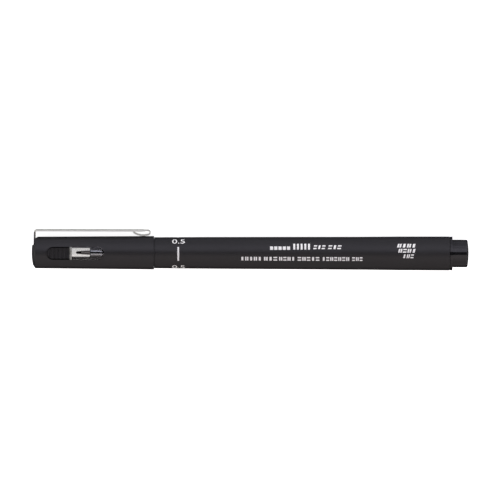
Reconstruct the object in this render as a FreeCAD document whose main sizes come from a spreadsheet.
import FreeCAD, Part
import math
import os
import Sketcher
from FreeCAD import Placement, Rotation, Vector

# A capped technical pen for drawing and drafting, in millimetres.
#
# Every "station" is a distance along the pen, counted from the tip of the
# crown. The crown and the nib point along +X and the tail along -X, with X = 0
# halfway. Each sub-part is drawn with its axis on X and the pocket clip
# towards +Z, then rolled about X and lifted, so that the pen lies on its
# barrel and on the edge of its clip, the way it comes to rest on a table.

os.makedirs("parts", exist_ok=True)
doc = FreeCAD.newDocument("technical_pen")

# ---------------------------------------------------------------- dimensions
DIMENSIONS = {
    # whole pen
    "overall_length": 139.0,
    "part_clearance": 0.02,
    # cap shell
    "shell_front": 0.62,
    "shell_bevel_end": 1.15,
    "shell_face_radius": 4.29,
    "shell_front_radius": 5.03,
    "shell_mouth": 38.9,
    "shell_mouth_radius": 5.325,
    "shell_mouth_bevel": 0.06,
    "crown_bore_radius": 4.22,
    "liner_seat": 12.8,
    "liner_bore_radius": 3.85,
    "neck_bore_start": 30.2,
    "neck_bore_radius": 4.40,
    "snap_groove_station": 35.0,
    "snap_groove_width": 1.0,
    "snap_groove_depth": 0.10,
    # window cut through both sides of the shell
    "window_start": 4.75,
    "window_end": 23.05,
    "window_height": 4.1,
    # notch for the clip in the shell's front edge
    "notch_width": 3.9,
    "notch_low_station": 1.05,
    "notch_low_height": 3.7,
    "notch_high_station": 1.85,
    "notch_high_height": 5.2,
    # crown
    "dome_rise": 0.42,
    "dome_radius": 4.05,
    "dome_flat_height": 2.3,
    "plug_radius": 4.2,
    "plug_root": 5.6,
    "plug_end": 12.05,
    "plug_core_radius": 2.7,
    "plug_arm_height": 4.3,
    "pad_margin": 0.35,
    "pad_reach": 4.7,
    "rib_groove_radius": 0.36,
    "rib_groove_sink": 0.10,
    "rib_pitch": 1.28,
    "rib_first_station": 6.0,
    "rib_grooves": 5,
    # clear inner cap
    "liner_start": 12.15,
    "liner_flange_radius": 4.16,
    "liner_radius": 3.8,
    "liner_end": 30.0,
    "liner_hollow_radius": 2.75,
    "liner_lip_start": 28.2,
    "liner_lip_radius": 2.66,
    "lens_root": 3.0,
    "lens_margin": 0.06,
    "lens_front_radius": 5.05,
    "lens_rear_radius": 5.13,
    # clip
    "clip_thickness": 0.4,
    "clip_width": 3.3,
    "clip_top": 7.55,
    "clip_crown_sag": 0.4,
    "clip_flat_height": 7.2,
    "square_turn": 90.0,
    "arm_front": 1.9,
    "arm_rear": 36.6,
    "leg_station": 0.8,
    "leg_bend_radius": 0.9,
    "flex_height": 4.3,
    "flex_gap": 0.04,
    "tang_height": 3.6,
    "tang_bend_radius": 0.5,
    "tang_end": 4.4,
    "tang_slot_end": 4.5,
    "tang_slot_width": 3.4,
    "tang_slot_floor": 3.38,
    "fold_start": 36.2,
    "fold_lead": 0.75,
    "fold_radius": 0.7,
    "fold_turn": 168.0,
    "fold_run": 1.05,
    "contact_radius": 1.0,
    "contact_turn": 30.0,
    "free_run": 3.4,
    # barrel
    "barrel_front": 38.96,
    "barrel_bevel_end": 39.04,
    "barrel_face_radius": 4.88,
    "barrel_front_radius": 4.94,
    "barrel_swell_station": 56.0,
    "barrel_swell_radius": 5.055,
    "barrel_waist_station": 104.0,
    "barrel_waist_radius": 5.235,
    "barrel_shoulder_station": 117.0,
    "barrel_shoulder_radius": 5.36,
    "barrel_end": 132.97,
    "barrel_end_radius": 5.395,
    "barrel_end_bevel": 0.08,
    "barrel_bore_radius": 4.0,
    # front section
    "nose_front": 23.32,
    "nose_front_radius": 2.4,
    "nose_cone_end": 24.6,
    "nose_radius": 2.6,
    "nose_end": 30.35,
    "neck_start": 31.3,
    "neck_radius": 4.28,
    "snap_ring_radius": 4.36,
    "snap_ring_width": 0.6,
    "grip_groove_station": 32.4,
    "grip_groove_pitch": 0.75,
    "grip_groove_width": 0.3,
    "grip_groove_depth": 0.14,
    "grip_grooves": 3,
    "spigot_end": 50.0,
    "cartridge_seat": 44.0,
    "cartridge_seat_radius": 3.3,
    # nib and ink path
    "nib_tip": 14.1,
    "nib_tip_radius": 0.24,
    "nib_tip_cone": 0.55,
    "nib_radius": 0.45,
    "sleeve_start": 15.72,
    "sleeve_start_radius": 0.59,
    "sleeve_radius": 0.70,
    "sleeve_end": 24.4,
    "holder_start": 18.53,
    "holder_face_radius": 2.15,
    "ferrule_bevel_end": 18.75,
    "ferrule_radius": 2.35,
    "ferrule_end": 23.3,
    "stem_radius": 1.33,
    "holder_socket_end": 24.5,
    "holder_end": 29.0,
    "wick_radius": 1.2,
    "wick_end": 52.0,
    "reservoir_start": 44.3,
    "reservoir_end": 121.0,
    "reservoir_radius": 3.1,
    "film_start": 44.2,
    "film_end": 121.2,
    "film_radius": 3.2,
    # tail plug
    "flange_end": 133.83,
    "flange_radius": 5.37,
    "flange_groove_width": 0.26,
    "flange_groove_depth": 0.1,
    "post_radius": 4.38,
    "post_end": 138.6,
    "post_edge_radius": 0.5,
    "plug_spigot_end": 123.0,
    "plug_hollow_radius": 2.9,
    "plug_hollow_end": 136.8,
}

sheet = doc.addObject("Spreadsheet::Sheet", "dims")
for row, (alias, number) in enumerate(DIMENSIONS.items(), start=1):
    sheet.set(f"A{row}", alias)
    sheet.set(f"B{row}", str(number))
    sheet.setAlias(f"B{row}", alias)
doc.recompute()


class Length:
    """A length that knows its value and its expression in the sheet."""

    def __init__(self, value, text):
        self.value = float(value)
        self.text = text

    def __add__(self, other):
        return Length(self.value + other.value, f"({self.text} + {other.text})")

    def __sub__(self, other):
        return Length(self.value - other.value, f"({self.text} - {other.text})")

    def __neg__(self):
        return Length(-self.value, f"(-{self.text})")

    def __mul__(self, factor):
        return Length(self.value * factor, f"({self.text} * {factor})")


ZERO = Length(0.0, "0")


def dim(alias):
    """A driving dimension from the sheet."""
    return Length(DIMENSIONS[alias], f"dims.{alias}")


def station(place):
    """The X coordinate of a station, given by its alias or as a Length."""
    if isinstance(place, str):
        place = dim(place)
    return dim("overall_length") * 0.5 - place


# ------------------------------------------------------------------- helpers
def new_body(name):
    """A body laid down in the pen's resting pose, centred on its footprint."""
    body = doc.addObject("PartDesign::Body", name)
    body.Label = name
    body.Placement = Placement(Vector(0, 0, 0), Rotation(Vector(1, 0, 0), 120))
    edge_height = "(dims.clip_flat_height + dims.clip_thickness / 2)"
    half_width = "(dims.clip_width / 2)"
    lean = (
        f"(180 deg - atan({half_width} / {edge_height})"
        f" - acos(dims.barrel_end_radius / sqrt({edge_height}^2 + {half_width}^2)))"
    )
    clip_reach = f"({edge_height} * sin({lean}) - {half_width} * cos({lean}))"
    body.setExpression("Placement.Rotation.Angle", lean)
    body.setExpression("Placement.Base.y", f"({clip_reach} - dims.barrel_end_radius) / 2 * 1 mm")
    body.setExpression("Placement.Base.z", "dims.barrel_end_radius * 1 mm")
    return body


def new_sketch(body, name, plane, height=None):
    """A sketch on one of the body's own planes, raised by height if given."""
    sketch = body.newObject("Sketcher::SketchObject", name)
    support = [item for item in body.Origin.OriginFeatures if item.Role == plane][0]
    sketch.AttachmentSupport = [(support, "")]
    sketch.MapMode = "FlatFace"
    if height is not None:
        sketch.AttachmentOffset = Placement(Vector(0, 0, height.value), Rotation())
        sketch.setExpression("AttachmentOffset.Base.z", f"{height.text} * 1 mm")
    return sketch


def drive(sketch, kind, targets, length):
    """Adds a constraint whose value follows the sheet."""
    index = sketch.addConstraint(Sketcher.Constraint(kind, *targets, length.value))
    sketch.setExpression(f"Constraints[{index}]", length.text)
    return index


def pin_point(sketch, edge, end, along, across):
    """Holds one end of an edge at its two coordinates."""
    if along.text == "0":
        sketch.addConstraint(Sketcher.Constraint("PointOnObject", edge, end, -2))
    else:
        drive(sketch, "DistanceX", (-1, 1, edge, end), along)
    if across.text == "0":
        sketch.addConstraint(Sketcher.Constraint("PointOnObject", edge, end, -1))
    else:
        drive(sketch, "DistanceY", (-1, 1, edge, end), across)


def axis_centred_arc(start, end):
    """The arc from start to end whose centre lies on the X axis."""
    run = 2 * (end.x - start.x)
    centre_x = (end.x ** 2 + end.y ** 2 - start.x ** 2 - start.y ** 2) / run
    centre = Vector(centre_x, 0, 0)
    halfway = (start + end) * 0.5 - centre
    halfway.multiply(start.distanceToPoint(centre) / halfway.Length)
    return Part.Arc(start, centre + halfway, end)


def draw_outline(sketch, corners, domed_edge=None):
    """A closed outline through the corners, each held at its coordinates.

    domed_edge names one edge that is an arc centred on the sketch's X axis.
    """
    points = [Vector(along.value, across.value, 0) for along, across in corners]
    first_ends = []
    for number, start in enumerate(points):
        end = points[(number + 1) % len(points)]
        if number == domed_edge:
            sketch.addGeometry(axis_centred_arc(start, end), False)
        else:
            sketch.addGeometry(Part.LineSegment(start, end), False)
        forward = sketch.Geometry[number].StartPoint.distanceToPoint(start) < 1e-6
        first_ends.append(1 if forward else 2)
    for number, (along, across) in enumerate(corners):
        follower = (number + 1) % len(points)
        joined = (number, 3 - first_ends[number], follower, first_ends[follower])
        sketch.addConstraint(Sketcher.Constraint("Coincident", *joined))
        pin_point(sketch, number, first_ends[number], along, across)
    if domed_edge is not None:
        sketch.addConstraint(Sketcher.Constraint("PointOnObject", domed_edge, 3, -1))


def turn_about_axis(body, name, corners, domed_edge=None, cut=False):
    """Turns an outline of (station, radius) corners about the pen's axis."""
    sketch = new_sketch(body, name + "_outline", "XZ_Plane")
    draw_outline(sketch, corners, domed_edge)
    kind = "PartDesign::Groove" if cut else "PartDesign::Revolution"
    feature = body.newObject(kind, name)
    feature.Profile = sketch
    feature.ReferenceAxis = (sketch, ["H_Axis"])
    feature.Angle = 360
    return feature


def tube_outline(start, end, inner, outer):
    """The four corners of a plain tube or, with inner ZERO, a rod."""
    return [
        (station(start), inner),
        (station(start), outer),
        (station(end), outer),
        (station(end), inner),
    ]


def draw_rectangle(sketch, left, bottom, right, top):
    draw_outline(sketch, [(left, bottom), (right, bottom), (right, top), (left, top)])


def pad_both_ways(body, name, sketch, width):
    """Pads a sketch by the given whole width, half on each side of its plane."""
    feature = body.newObject("PartDesign::Pad", name)
    feature.Profile = sketch
    feature.SideType = "Symmetric"
    feature.Length = width.value
    feature.setExpression("Length", f"{width.text} * 1 mm")
    return feature


def cut_both_ways(body, name, sketch, width):
    """Pockets a sketch by the given whole width, half on each side."""
    feature = body.newObject("PartDesign::Pocket", name)
    feature.Profile = sketch
    feature.SideType = "Symmetric"
    feature.Length = width.value
    feature.setExpression("Length", f"{width.text} * 1 mm")
    return feature


def repeat_along(body, name, feature, pitch, alias_count):
    """Repeats a cut towards the tail at a fixed pitch."""
    body.Tip = feature
    doc.recompute()
    pattern = body.newObject("PartDesign::LinearPattern", name)
    pattern.Originals = [feature]
    x_axis = [item for item in body.Origin.OriginFeatures if item.Role == "X_Axis"][0]
    pattern.Direction = (x_axis, [""])
    pattern.Reversed = True
    pattern.Mode = "Spacing"
    pattern.Offset = pitch.value
    pattern.setExpression("Offset", f"{pitch.text} * 1 mm")
    pattern.Occurrences = int(DIMENSIONS[alias_count])
    pattern.setExpression("Occurrences", f"dims.{alias_count}")
    body.Tip = pattern
    return pattern


def round_edges(body, name, feature, wanted, radius):
    """Rounds the edges of a feature for which wanted(edge) is true."""
    doc.recompute()
    edges = enumerate(feature.Shape.Edges, start=1)
    names = [f"Edge{number}" for number, edge in edges if wanted(edge)]
    fillet = body.newObject("PartDesign::Fillet", name)
    fillet.Base = (feature, names)
    fillet.Radius = radius.value
    fillet.setExpression("Radius", f"{radius.text} * 1 mm")
    return fillet


def is_circle_at(edge, place, radius):
    """True for a full circle about the axis at a station and radius."""
    box = edge.BoundBox
    flat = box.XLength < 1e-6 and abs(box.XMin - station(place).value) < 1e-4
    return flat and abs(box.ZLength - 2 * radius.value) < 1e-4


class StripPath:
    """The bent centre line of a sheet strip, drawn from end to end.

    The strip is described the way it is bent: straight runs and bends of a
    known radius and angle, each tangent to the one before.
    """

    def __init__(self, sketch, start, heading_degrees):
        self.sketch = sketch
        self.place = Vector(start[0].value, start[1].value, 0)
        self.heading = math.radians(heading_degrees)
        self.last = None
        self.start = start

    def join(self, number, first_end):
        """Joins a new edge to the end of the one before."""
        if self.last is None:
            pin_point(self.sketch, number, first_end, *self.start)
        else:
            previous, previous_end = self.last
            joined = (previous, previous_end, number, first_end)
            self.sketch.addConstraint(Sketcher.Constraint("Tangent", *joined))
        self.last = (number, 3 - first_end)

    def run(self, length):
        direction = Vector(math.cos(self.heading), math.sin(self.heading), 0)
        end = self.place + direction * length.value
        number = self.sketch.addGeometry(Part.LineSegment(self.place, end), False)
        if self.last is None:
            self.sketch.addConstraint(Sketcher.Constraint("Horizontal", number))
        self.join(number, 1)
        drive(self.sketch, "Distance", (number,), length)
        self.place = end

    def bend(self, radius, turn):
        """A bend through an angle: positive turns left, negative right."""
        degrees = turn.value
        side = 1 if degrees > 0 else -1
        to_centre = Vector(-math.sin(self.heading), math.cos(self.heading), 0)
        centre = self.place + to_centre * (radius.value * side)

        def after(turn):
            spoke = self.place - centre
            c, s = math.cos(turn), math.sin(turn)
            turned = Vector(spoke.x * c - spoke.y * s, spoke.x * s + spoke.y * c, 0)
            return centre + turned

        angle = math.radians(degrees)
        end = after(angle)
        corners = [self.place, after(angle / 2), end]
        if side < 0:
            corners.reverse()
        number = self.sketch.addGeometry(Part.Arc(*corners), False)
        self.join(number, 1 if side > 0 else 2)
        drive(self.sketch, "Radius", (number,), radius)
        span = self.sketch.addConstraint(Sketcher.Constraint("Angle", number, abs(angle)))
        size = turn.text if side > 0 else f"-1 * {turn.text}"
        self.sketch.setExpression(f"Constraints[{span}]", f"{size} * 1 deg")
        self.place = end
        self.heading += angle


def sweep_strip(body, name, profile, path):
    """Sweeps a strip's cross-section along its centre line."""
    doc.recompute()
    pipe = body.newObject("PartDesign::AdditivePipe", name)
    pipe.Profile = profile
    edges = [f"Edge{number + 1}" for number in range(len(path.Geometry))]
    pipe.Spine = (path, edges)
    body.Tip = pipe
    return pipe


# ----------------------------------------------------------- cap: outer shell
def make_cap_shell():
    """The tapered shell: bored from both ends, with a window and a clip notch."""
    body = new_body("cap_shell")
    front = station("shell_front")
    bevel = dim("shell_mouth_bevel")
    turn_about_axis(body, "shell_wall", [
        (front, dim("crown_bore_radius")),
        (front, dim("shell_face_radius")),
        (station("shell_bevel_end"), dim("shell_front_radius")),
        (station(dim("shell_mouth") - bevel), dim("shell_mouth_radius")),
        (station("shell_mouth"), dim("shell_mouth_radius") - bevel),
        (station("shell_mouth"), dim("neck_bore_radius")),
        (station("neck_bore_start"), dim("neck_bore_radius")),
        (station("neck_bore_start"), dim("liner_bore_radius")),
        (station("liner_seat"), dim("liner_bore_radius")),
        (station("liner_seat"), dim("crown_bore_radius")),
    ])

    half_groove = dim("snap_groove_width") * 0.5
    groove_front = station(dim("snap_groove_station") - half_groove)
    groove_rear = station(dim("snap_groove_station") + half_groove)
    turn_about_axis(body, "snap_groove", [
        (groove_front, dim("liner_bore_radius")),
        (groove_front, dim("neck_bore_radius") + dim("snap_groove_depth")),
        (groove_rear, dim("neck_bore_radius") + dim("snap_groove_depth")),
        (groove_rear, dim("liner_bore_radius")),
    ], cut=True)

    window = new_sketch(body, "window_outline", "XZ_Plane")
    draw_stadium(window, "window_start", "window_end", dim("window_height") * 0.5)
    cut_both_ways(body, "window", window, dim("shell_mouth_radius") * 2.2)

    notch = new_sketch(body, "notch_outline", "XZ_Plane")
    draw_outline(notch, [
        (station(ZERO), dim("notch_low_height")),
        (station("notch_low_station"), dim("notch_low_height")),
        (station("notch_high_station"), dim("notch_high_height")),
        (station("notch_high_station"), dim("clip_top")),
        (station(ZERO), dim("clip_top")),
    ])
    body.Tip = cut_both_ways(body, "notch", notch, dim("notch_width"))
    return body


def draw_stadium(sketch, start, end, radius):
    """A long slot with round ends, centred on the pen's axis."""
    low = station(dim(end) - radius)
    high = station(dim(start) + radius)
    left = Vector(low.value, 0, 0)
    right = Vector(high.value, 0, 0)
    up = Vector(0, radius.value, 0)
    reach = Vector(radius.value, 0, 0)
    sketch.addGeometry(Part.LineSegment(left + up, right + up), False)
    sketch.addGeometry(Part.Arc(right - up, right + reach, right + up), False)
    sketch.addGeometry(Part.LineSegment(right - up, left - up), False)
    sketch.addGeometry(Part.Arc(left + up, left - reach, left - up), False)
    for joined in [(0, 2, 1, 2), (1, 1, 2, 1), (2, 2, 3, 2), (3, 1, 0, 1)]:
        sketch.addConstraint(Sketcher.Constraint("Tangent", *joined))
    for arc, centre in [(1, high), (3, low)]:
        sketch.addConstraint(Sketcher.Constraint("PointOnObject", arc, 3, -1))
        drive(sketch, "DistanceX", (-1, 1, arc, 3), centre)
    drive(sketch, "Radius", (1,), radius)


# ---------------------------------------------------------- cap: crown and pads
def make_cap_crown():
    """The crown plug: a domed head, and two sprung arms with ribbed pads."""
    body = new_body("cap_crown")
    turn_about_axis(body, "plug", [
        (station(ZERO), ZERO),
        (station("dome_rise"), dim("dome_radius")),
        (station("shell_front"), dim("dome_radius")),
        (station("shell_front"), dim("plug_radius")),
        (station("plug_end"), dim("plug_radius")),
        (station("plug_end"), ZERO),
    ], domed_edge=0)

    core = [
        (station("plug_root"), ZERO),
        (station("plug_root"), dim("plug_core_radius")),
        (station(dim("plug_end") + dim("pad_margin")), dim("plug_core_radius")),
        (station(dim("plug_end") + dim("pad_margin")), ZERO),
    ]
    turn_about_axis(body, "plug_core", core, cut=True)

    half_arm = dim("plug_arm_height") * 0.5
    beyond = station(dim("plug_end") + dim("pad_margin"))
    for side, sign in [("upper", 1), ("lower", -1)]:
        gap = new_sketch(body, f"{side}_gap_outline", "XZ_Plane")
        near = half_arm if sign > 0 else -half_arm
        far = dim("shell_front_radius") if sign > 0 else -dim("shell_front_radius")
        draw_rectangle(gap, beyond, near, station("plug_root"), far)
        cut_both_ways(body, f"{side}_gap", gap, dim("shell_front_radius") * 2)

    flat = new_sketch(body, "dome_flat_outline", "XZ_Plane")
    draw_rectangle(
        flat, station("shell_front"), dim("dome_flat_height"),
        station(-dim("dome_rise")), dim("shell_front_radius"))
    cut_both_ways(body, "dome_flat", flat, dim("shell_front_radius") * 2)

    slot = new_sketch(body, "tang_slot_outline", "XZ_Plane")
    draw_rectangle(
        slot, station("tang_slot_end"), dim("tang_slot_floor"),
        station(ZERO), dim("shell_front_radius"))
    cut_both_ways(body, "tang_slot", slot, dim("tang_slot_width"))

    pad_radius = dim("window_height") * 0.5 - dim("pad_margin")
    pad_centre = station(dim("window_start") + dim("pad_margin") + pad_radius)
    raise_pads(
        body, "pad", dim("plug_core_radius"), dim("pad_reach"),
        station("plug_end"), pad_centre, pad_radius)

    groove = new_sketch(body, "rib_groove_outline", "XY_Plane")
    centre = dim("pad_reach") + dim("rib_groove_sink")
    for number, across in enumerate([centre, -centre]):
        place = Vector(station("rib_first_station").value, across.value, 0)
        radius = dim("rib_groove_radius")
        groove.addGeometry(Part.Circle(place, Vector(0, 0, 1), radius.value), False)
        drive(groove, "DistanceX", (-1, 1, number, 3), station("rib_first_station"))
        drive(groove, "DistanceY", (-1, 1, number, 3), across)
        drive(groove, "Radius", (number,), radius)
    first = cut_both_ways(body, "rib_groove", groove, dim("window_height") * 1.2)
    repeat_along(body, "rib_grooves_row", first, dim("rib_pitch"), "rib_grooves")
    return body


def draw_half_stadium(sketch, square, centre, radius):
    """An outline square at one end and round at the other, about the axis.

    square is where the square end stands, and centre the round end's centre.
    """
    toward_crown = centre.value > square.value
    middle = Vector(centre.value, 0, 0)
    corner = Vector(square.value, 0, 0)
    up = Vector(0, radius.value, 0)
    reach = Vector(radius.value if toward_crown else -radius.value, 0, 0)
    lower_end = 1 if toward_crown else 2
    upper_end = 3 - lower_end
    arc_points = [middle - up, middle + reach, middle + up]
    if not toward_crown:
        arc_points.reverse()
    sketch.addGeometry(Part.LineSegment(corner + up, middle + up), False)
    sketch.addGeometry(Part.Arc(*arc_points), False)
    sketch.addGeometry(Part.LineSegment(middle - up, corner - up), False)
    sketch.addGeometry(Part.LineSegment(corner - up, corner + up), False)
    sketch.addConstraint(Sketcher.Constraint("Tangent", 0, 2, 1, upper_end))
    sketch.addConstraint(Sketcher.Constraint("Tangent", 1, lower_end, 2, 1))
    sketch.addConstraint(Sketcher.Constraint("Coincident", 2, 2, 3, 1))
    sketch.addConstraint(Sketcher.Constraint("Coincident", 3, 2, 0, 1))
    sketch.addConstraint(Sketcher.Constraint("PointOnObject", 1, 3, -1))
    sketch.addConstraint(Sketcher.Constraint("Vertical", 3))
    drive(sketch, "DistanceX", (-1, 1, 1, 3), centre)
    drive(sketch, "DistanceX", (-1, 1, 3, 1), square)
    drive(sketch, "Radius", (1,), radius)


def raise_pads(body, name, root, reach, square, centre, radius):
    """A pair of pads, one towards each window, from root out to reach."""
    for side, sign in [("near", 1), ("far", -1)]:
        outline = new_sketch(body, f"{side}_{name}_outline", "XZ_Plane", root * sign)
        draw_half_stadium(outline, square, centre, radius)
        feature = body.newObject("PartDesign::Pad", f"{side}_{name}")
        feature.Profile = outline
        feature.Reversed = sign < 0
        thickness = reach - root
        feature.Length = thickness.value
        feature.setExpression("Length", f"{thickness.text} * 1 mm")


# ---------------------------------------------------------- cap: clear inner cap
def make_inner_cap():
    """The clear liner that seals round the nose and fills the two windows."""
    body = new_body("inner_cap")
    seat = station(dim("liner_seat") - dim("part_clearance"))
    lip_ramp = station(dim("liner_lip_start") + dim("clip_thickness"))
    mouth_ramp = station(dim("liner_end") - dim("clip_thickness"))
    turn_about_axis(body, "liner", [
        (station("liner_start"), ZERO),
        (station("liner_start"), dim("liner_flange_radius")),
        (seat, dim("liner_flange_radius")),
        (seat, dim("liner_radius")),
        (station("liner_end"), dim("liner_radius")),
        (station("liner_end"), dim("liner_hollow_radius") + dim("part_clearance") * 5),
        (mouth_ramp, dim("liner_lip_radius")),
        (lip_ramp, dim("liner_lip_radius")),
        (station("liner_lip_start"), dim("liner_hollow_radius")),
        (station("liner_seat"), dim("liner_hollow_radius")),
        (station("liner_seat"), ZERO),
    ])

    lens_radius = dim("window_height") * 0.5 - dim("lens_margin")
    lens_centre = station(dim("window_end") - dim("lens_margin") - lens_radius)
    raise_pads(
        body, "lens", dim("lens_root"), dim("shell_mouth_radius"),
        station("liner_start"), lens_centre, lens_radius)
    body.Tip = turn_about_axis(body, "lens_faces", [
        (station("liner_start"), dim("lens_front_radius")),
        (station("window_end"), dim("lens_rear_radius")),
        (station("window_end"), dim("shell_mouth_radius") * 1.2),
        (station("liner_start"), dim("shell_mouth_radius") * 1.2),
    ], cut=True)
    return body


# ------------------------------------------------------------------ cap: clip
def strip_section(body, name, place):
    """The flat cross-section of the clip strip, across the pen's axis."""
    section = new_sketch(body, name, "YZ_Plane", place[0])
    half_width = dim("clip_width") * 0.5
    half_sheet = dim("clip_thickness") * 0.5
    draw_rectangle(
        section, -half_width, place[1] - half_sheet, half_width, place[1] + half_sheet)
    return section


def make_clip_root():
    """The clip's tang, held between crown and shell, and its inner bend."""
    body = new_body("clip_root")
    start = (station("tang_end"), dim("tang_height"))
    section = strip_section(body, "tang_section", start)
    path = new_sketch(body, "tang_path", "XZ_Plane")
    strip = StripPath(path, start, 0)
    bend = dim("tang_bend_radius")
    strip.run(dim("tang_end") - dim("leg_station") - bend)
    strip.bend(bend, dim("square_turn"))
    strip.run(dim("flex_height") - dim("flex_gap") * 0.5 - dim("tang_height") - bend)
    sweep_strip(body, "tang", section, path)
    return body


def make_clip_arm():
    """The sprung part of the clip: leg, crowned arm and folded end."""
    body = new_body("clip_arm")
    half_width = dim("clip_width") * 0.5
    edge_top = dim("clip_top") - dim("clip_crown_sag")
    sheet_depth = dim("clip_thickness")
    crowned = new_sketch(body, "arm_section", "YZ_Plane", station("arm_rear"))
    bulge = "(dims.clip_width^2 / 4 + dims.clip_crown_sag^2) / (2 * dims.clip_crown_sag)"
    sag = DIMENSIONS["clip_crown_sag"]
    crown_radius = Length((half_width.value ** 2 + sag ** 2) / (2 * sag), bulge)
    lower_edge = edge_top - sheet_depth
    for edge_height in [edge_top, lower_edge]:
        left = Vector(-half_width.value, edge_height.value, 0)
        top = Vector(0, edge_height.value + sag, 0)
        right = Vector(half_width.value, edge_height.value, 0)
        crowned.addGeometry(Part.Arc(right, top, left), False)
    for side in [1, 2]:
        upper = crowned.Geometry[0].StartPoint if side == 1 else crowned.Geometry[0].EndPoint
        lower = crowned.Geometry[1].StartPoint if side == 1 else crowned.Geometry[1].EndPoint
        number = crowned.addGeometry(Part.LineSegment(upper, lower), False)
        crowned.addConstraint(Sketcher.Constraint("Coincident", number, 1, 0, side))
        crowned.addConstraint(Sketcher.Constraint("Coincident", number, 2, 1, side))
        across = half_width if upper.x > 0 else -half_width
        pin_point(crowned, 0, side, across, edge_top)
        pin_point(crowned, 1, side, across, lower_edge)
    drive(crowned, "Radius", (0,), crown_radius)
    drive(crowned, "Radius", (1,), crown_radius)
    arm = body.newObject("PartDesign::Pad", "arm")
    arm.Profile = crowned
    length = dim("arm_rear") - dim("arm_front")
    arm.Length = length.value
    arm.setExpression("Length", f"{length.text} * 1 mm")
    body.Tip = arm

    start = (station(dim("arm_front") + dim("clip_thickness")), dim("clip_flat_height"))
    section = strip_section(body, "leg_section", start)
    path = new_sketch(body, "leg_path", "XZ_Plane")
    strip = StripPath(path, start, 0)
    bend = dim("leg_bend_radius")
    strip.run(dim("arm_front") + dim("clip_thickness") - dim("leg_station") - bend)
    strip.bend(bend, -dim("square_turn"))
    strip.run(dim("clip_flat_height") - bend - dim("flex_height") - dim("flex_gap") * 0.5)
    sweep_strip(body, "leg", section, path)

    start = (station("fold_start"), dim("clip_flat_height"))
    section = strip_section(body, "fold_section", start)
    path = new_sketch(body, "fold_path", "XZ_Plane")
    strip = StripPath(path, start, 180)
    strip.run(dim("fold_lead"))
    strip.bend(dim("fold_radius"), dim("fold_turn"))
    strip.run(dim("fold_run"))
    strip.bend(dim("contact_radius"), dim("contact_turn"))
    strip.run(dim("free_run"))
    sweep_strip(body, "folded_end", section, path)
    return body


# --------------------------------------------------------------- pen: barrel
def make_barrel():
    """The long tapering tube that is held while drawing."""
    body = new_body("barrel")
    bevel = dim("barrel_end_bevel")
    body.Tip = turn_about_axis(body, "barrel_wall", [
        (station("barrel_front"), dim("barrel_bore_radius")),
        (station("barrel_front"), dim("barrel_face_radius")),
        (station("barrel_bevel_end"), dim("barrel_front_radius")),
        (station("barrel_swell_station"), dim("barrel_swell_radius")),
        (station("barrel_waist_station"), dim("barrel_waist_radius")),
        (station("barrel_shoulder_station"), dim("barrel_shoulder_radius")),
        (station(dim("barrel_end") - bevel), dim("barrel_end_radius")),
        (station("barrel_end"), dim("barrel_end_radius") - bevel),
        (station("barrel_end"), dim("barrel_bore_radius")),
    ])
    return body


# -------------------------------------------------------- pen: front section
def make_front_section():
    """The neck under the cap, the nose and the spigot inside the barrel."""
    body = new_body("front_section")
    spigot = dim("barrel_bore_radius") - dim("part_clearance")
    neck_end = station(dim("barrel_front") - dim("part_clearance"))
    turn_about_axis(body, "section_wall", [
        (station("nose_front"), dim("stem_radius") + dim("part_clearance")),
        (station("nose_front"), dim("nose_front_radius")),
        (station("nose_cone_end"), dim("nose_radius")),
        (station("nose_end"), dim("nose_radius")),
        (station("neck_start"), dim("neck_radius")),
        (neck_end, dim("neck_radius")),
        (neck_end, spigot),
        (station("spigot_end"), spigot),
        (station("spigot_end"), dim("cartridge_seat_radius")),
        (station("cartridge_seat"), dim("cartridge_seat_radius")),
        (station("cartridge_seat"), dim("wick_radius") + dim("part_clearance")),
        (station(dim("holder_end") + dim("part_clearance")),
         dim("wick_radius") + dim("part_clearance")),
        (station(dim("holder_end") + dim("part_clearance")),
         dim("stem_radius") + dim("part_clearance")),
    ])

    half_ring = dim("snap_ring_width") * 0.5
    ring_front = dim("snap_groove_station") - half_ring
    ring_rear = dim("snap_groove_station") + half_ring
    turn_about_axis(body, "snap_ring", [
        (station(ring_front), dim("neck_radius") - dim("snap_groove_depth")),
        (station(ring_front), dim("neck_radius")),
        (station("snap_groove_station"), dim("snap_ring_radius")),
        (station(ring_rear), dim("neck_radius")),
        (station(ring_rear), dim("neck_radius") - dim("snap_groove_depth")),
    ])

    groove_rear = dim("grip_groove_station") + dim("grip_groove_width")
    groove = turn_about_axis(body, "grip_groove", [
        (station("grip_groove_station"), dim("neck_radius") - dim("grip_groove_depth")),
        (station("grip_groove_station"), dim("snap_ring_radius")),
        (station(groove_rear), dim("snap_ring_radius")),
        (station(groove_rear), dim("neck_radius") - dim("grip_groove_depth")),
    ], cut=True)
    repeat_along(body, "grip_groove_row", groove, dim("grip_groove_pitch"), "grip_grooves")
    return body


# ------------------------------------------------------------ pen: nib parts
def make_nib_holder():
    """The metal ferrule that carries the nib, on a stem inside the nose."""
    body = new_body("nib_holder")
    clearance = dim("part_clearance")
    body.Tip = turn_about_axis(body, "holder", [
        (station("holder_start"), dim("sleeve_radius") + clearance),
        (station("holder_start"), dim("holder_face_radius")),
        (station("ferrule_bevel_end"), dim("ferrule_radius")),
        (station("ferrule_end"), dim("ferrule_radius")),
        (station("ferrule_end"), dim("stem_radius")),
        (station("holder_end"), dim("stem_radius")),
        (station("holder_end"), dim("nib_radius") + clearance),
        (station("holder_socket_end"), dim("nib_radius") + clearance),
        (station("holder_socket_end"), dim("sleeve_radius") + clearance),
    ])
    return body


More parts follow.
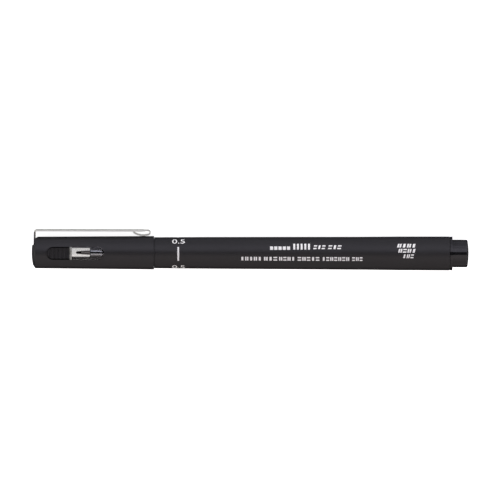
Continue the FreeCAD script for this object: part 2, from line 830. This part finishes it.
def make_nib_sleeve():
    """The steel sleeve round the nib, slightly tapered where it shows."""
    body = new_body("nib_sleeve")
    bore = dim("nib_radius") + dim("part_clearance")
    body.Tip = turn_about_axis(body, "sleeve", [
        (station("sleeve_start"), bore),
        (station("sleeve_start"), dim("sleeve_start_radius")),
        (station("holder_start"), dim("sleeve_radius")),
        (station("sleeve_end"), dim("sleeve_radius")),
        (station("sleeve_end"), bore),
    ])
    return body


def make_nib_point():
    """The fibre nib: a fine rounded point on a long rod."""
    body = new_body("nib_point")
    body.Tip = turn_about_axis(body, "nib", [
        (station("nib_tip"), ZERO),
        (station("nib_tip"), dim("nib_tip_radius")),
        (station(dim("nib_tip") + dim("nib_tip_cone")), dim("nib_radius")),
        (station("holder_end"), dim("nib_radius")),
        (station("holder_end"), ZERO),
    ])
    return body


# --------------------------------------------------------- pen: ink reservoir
def make_relay_wick():
    """The wick that carries ink from the reservoir to the nib."""
    body = new_body("relay_wick")
    start = dim("holder_end") + dim("part_clearance") * 2
    body.Tip = turn_about_axis(
        body, "wick", tube_outline(start, "wick_end", ZERO, dim("wick_radius")))
    return body


def make_reservoir():
    """The fibre roll that holds the ink, bored at the front for the wick."""
    body = new_body("ink_reservoir")
    bore = dim("wick_radius") + dim("part_clearance")
    bore_end = dim("wick_end") + dim("part_clearance")
    outer = dim("reservoir_radius") - dim("part_clearance")
    body.Tip = turn_about_axis(body, "fibre_roll", [
        (station("reservoir_start"), bore),
        (station("reservoir_start"), outer),
        (station("reservoir_end"), outer),
        (station("reservoir_end"), ZERO),
        (station(bore_end), ZERO),
        (station(bore_end), bore),
    ])
    return body


def make_reservoir_film():
    """The thin film sleeve wrapped round the fibre roll."""
    body = new_body("reservoir_film")
    body.Tip = turn_about_axis(body, "film", tube_outline(
        "film_start", "film_end", dim("reservoir_radius"), dim("film_radius")))
    return body


# ------------------------------------------------------------- pen: tail plug
def make_tail_plug():
    """The glossy end plug, whose post takes the cap while the pen is in use."""
    body = new_body("tail_plug")
    spigot = dim("barrel_bore_radius") - dim("part_clearance")
    flange_front = station(dim("barrel_end") + dim("part_clearance"))
    turn_about_axis(body, "plug", [
        (station("plug_spigot_end"), dim("plug_hollow_radius")),
        (station("plug_spigot_end"), spigot),
        (flange_front, spigot),
        (flange_front, dim("flange_radius")),
        (station("flange_end"), dim("flange_radius")),
        (station("flange_end"), dim("post_radius")),
        (station("post_end"), dim("post_radius")),
        (station("overall_length"), ZERO),
        (station("plug_hollow_end"), ZERO),
        (station("plug_hollow_end"), dim("plug_hollow_radius")),
    ], domed_edge=6)
    groove_front = dim("barrel_end") + dim("part_clearance")
    groove_rear = groove_front + dim("flange_groove_width")
    groove = turn_about_axis(body, "flange_groove", [
        (station(groove_front), dim("flange_radius") - dim("flange_groove_depth")),
        (station(groove_front), dim("barrel_end_radius")),
        (station(groove_rear), dim("barrel_end_radius")),
        (station(groove_rear), dim("flange_radius") - dim("flange_groove_depth")),
    ], cut=True)
    body.Tip = groove
    body.Tip = round_edges(
        body, "post_edge", groove,
        lambda edge: is_circle_at(edge, "post_end", dim("post_radius")),
        dim("post_edge_radius"))
    return body


# ------------------------------------------------------------------ assembly
PARTS = [
    make_cap_shell(),
    make_cap_crown(),
    make_inner_cap(),
    make_clip_root(),
    make_clip_arm(),
    make_barrel(),
    make_front_section(),
    make_nib_holder(),
    make_nib_sleeve(),
    make_nib_point(),
    make_relay_wick(),
    make_reservoir(),
    make_reservoir_film(),
    make_tail_plug(),
]
doc.recompute()

for item in doc.Objects:
    if "Invalid" in item.State or "Error" in item.State:
        raise RuntimeError(f"{item.Name} did not build: {item.State}")

for body in PARTS:
    shape = body.Shape
    if shape.isNull() or not shape.isValid() or len(shape.Solids) != 1:
        raise RuntimeError(f"{body.Label} is not one sound solid")
    shape.exportStep(os.path.join("parts", body.Label + ".step"))
    print(f"{body.Label}: {shape.Volume:.2f} mm3, {len(shape.Faces)} faces")
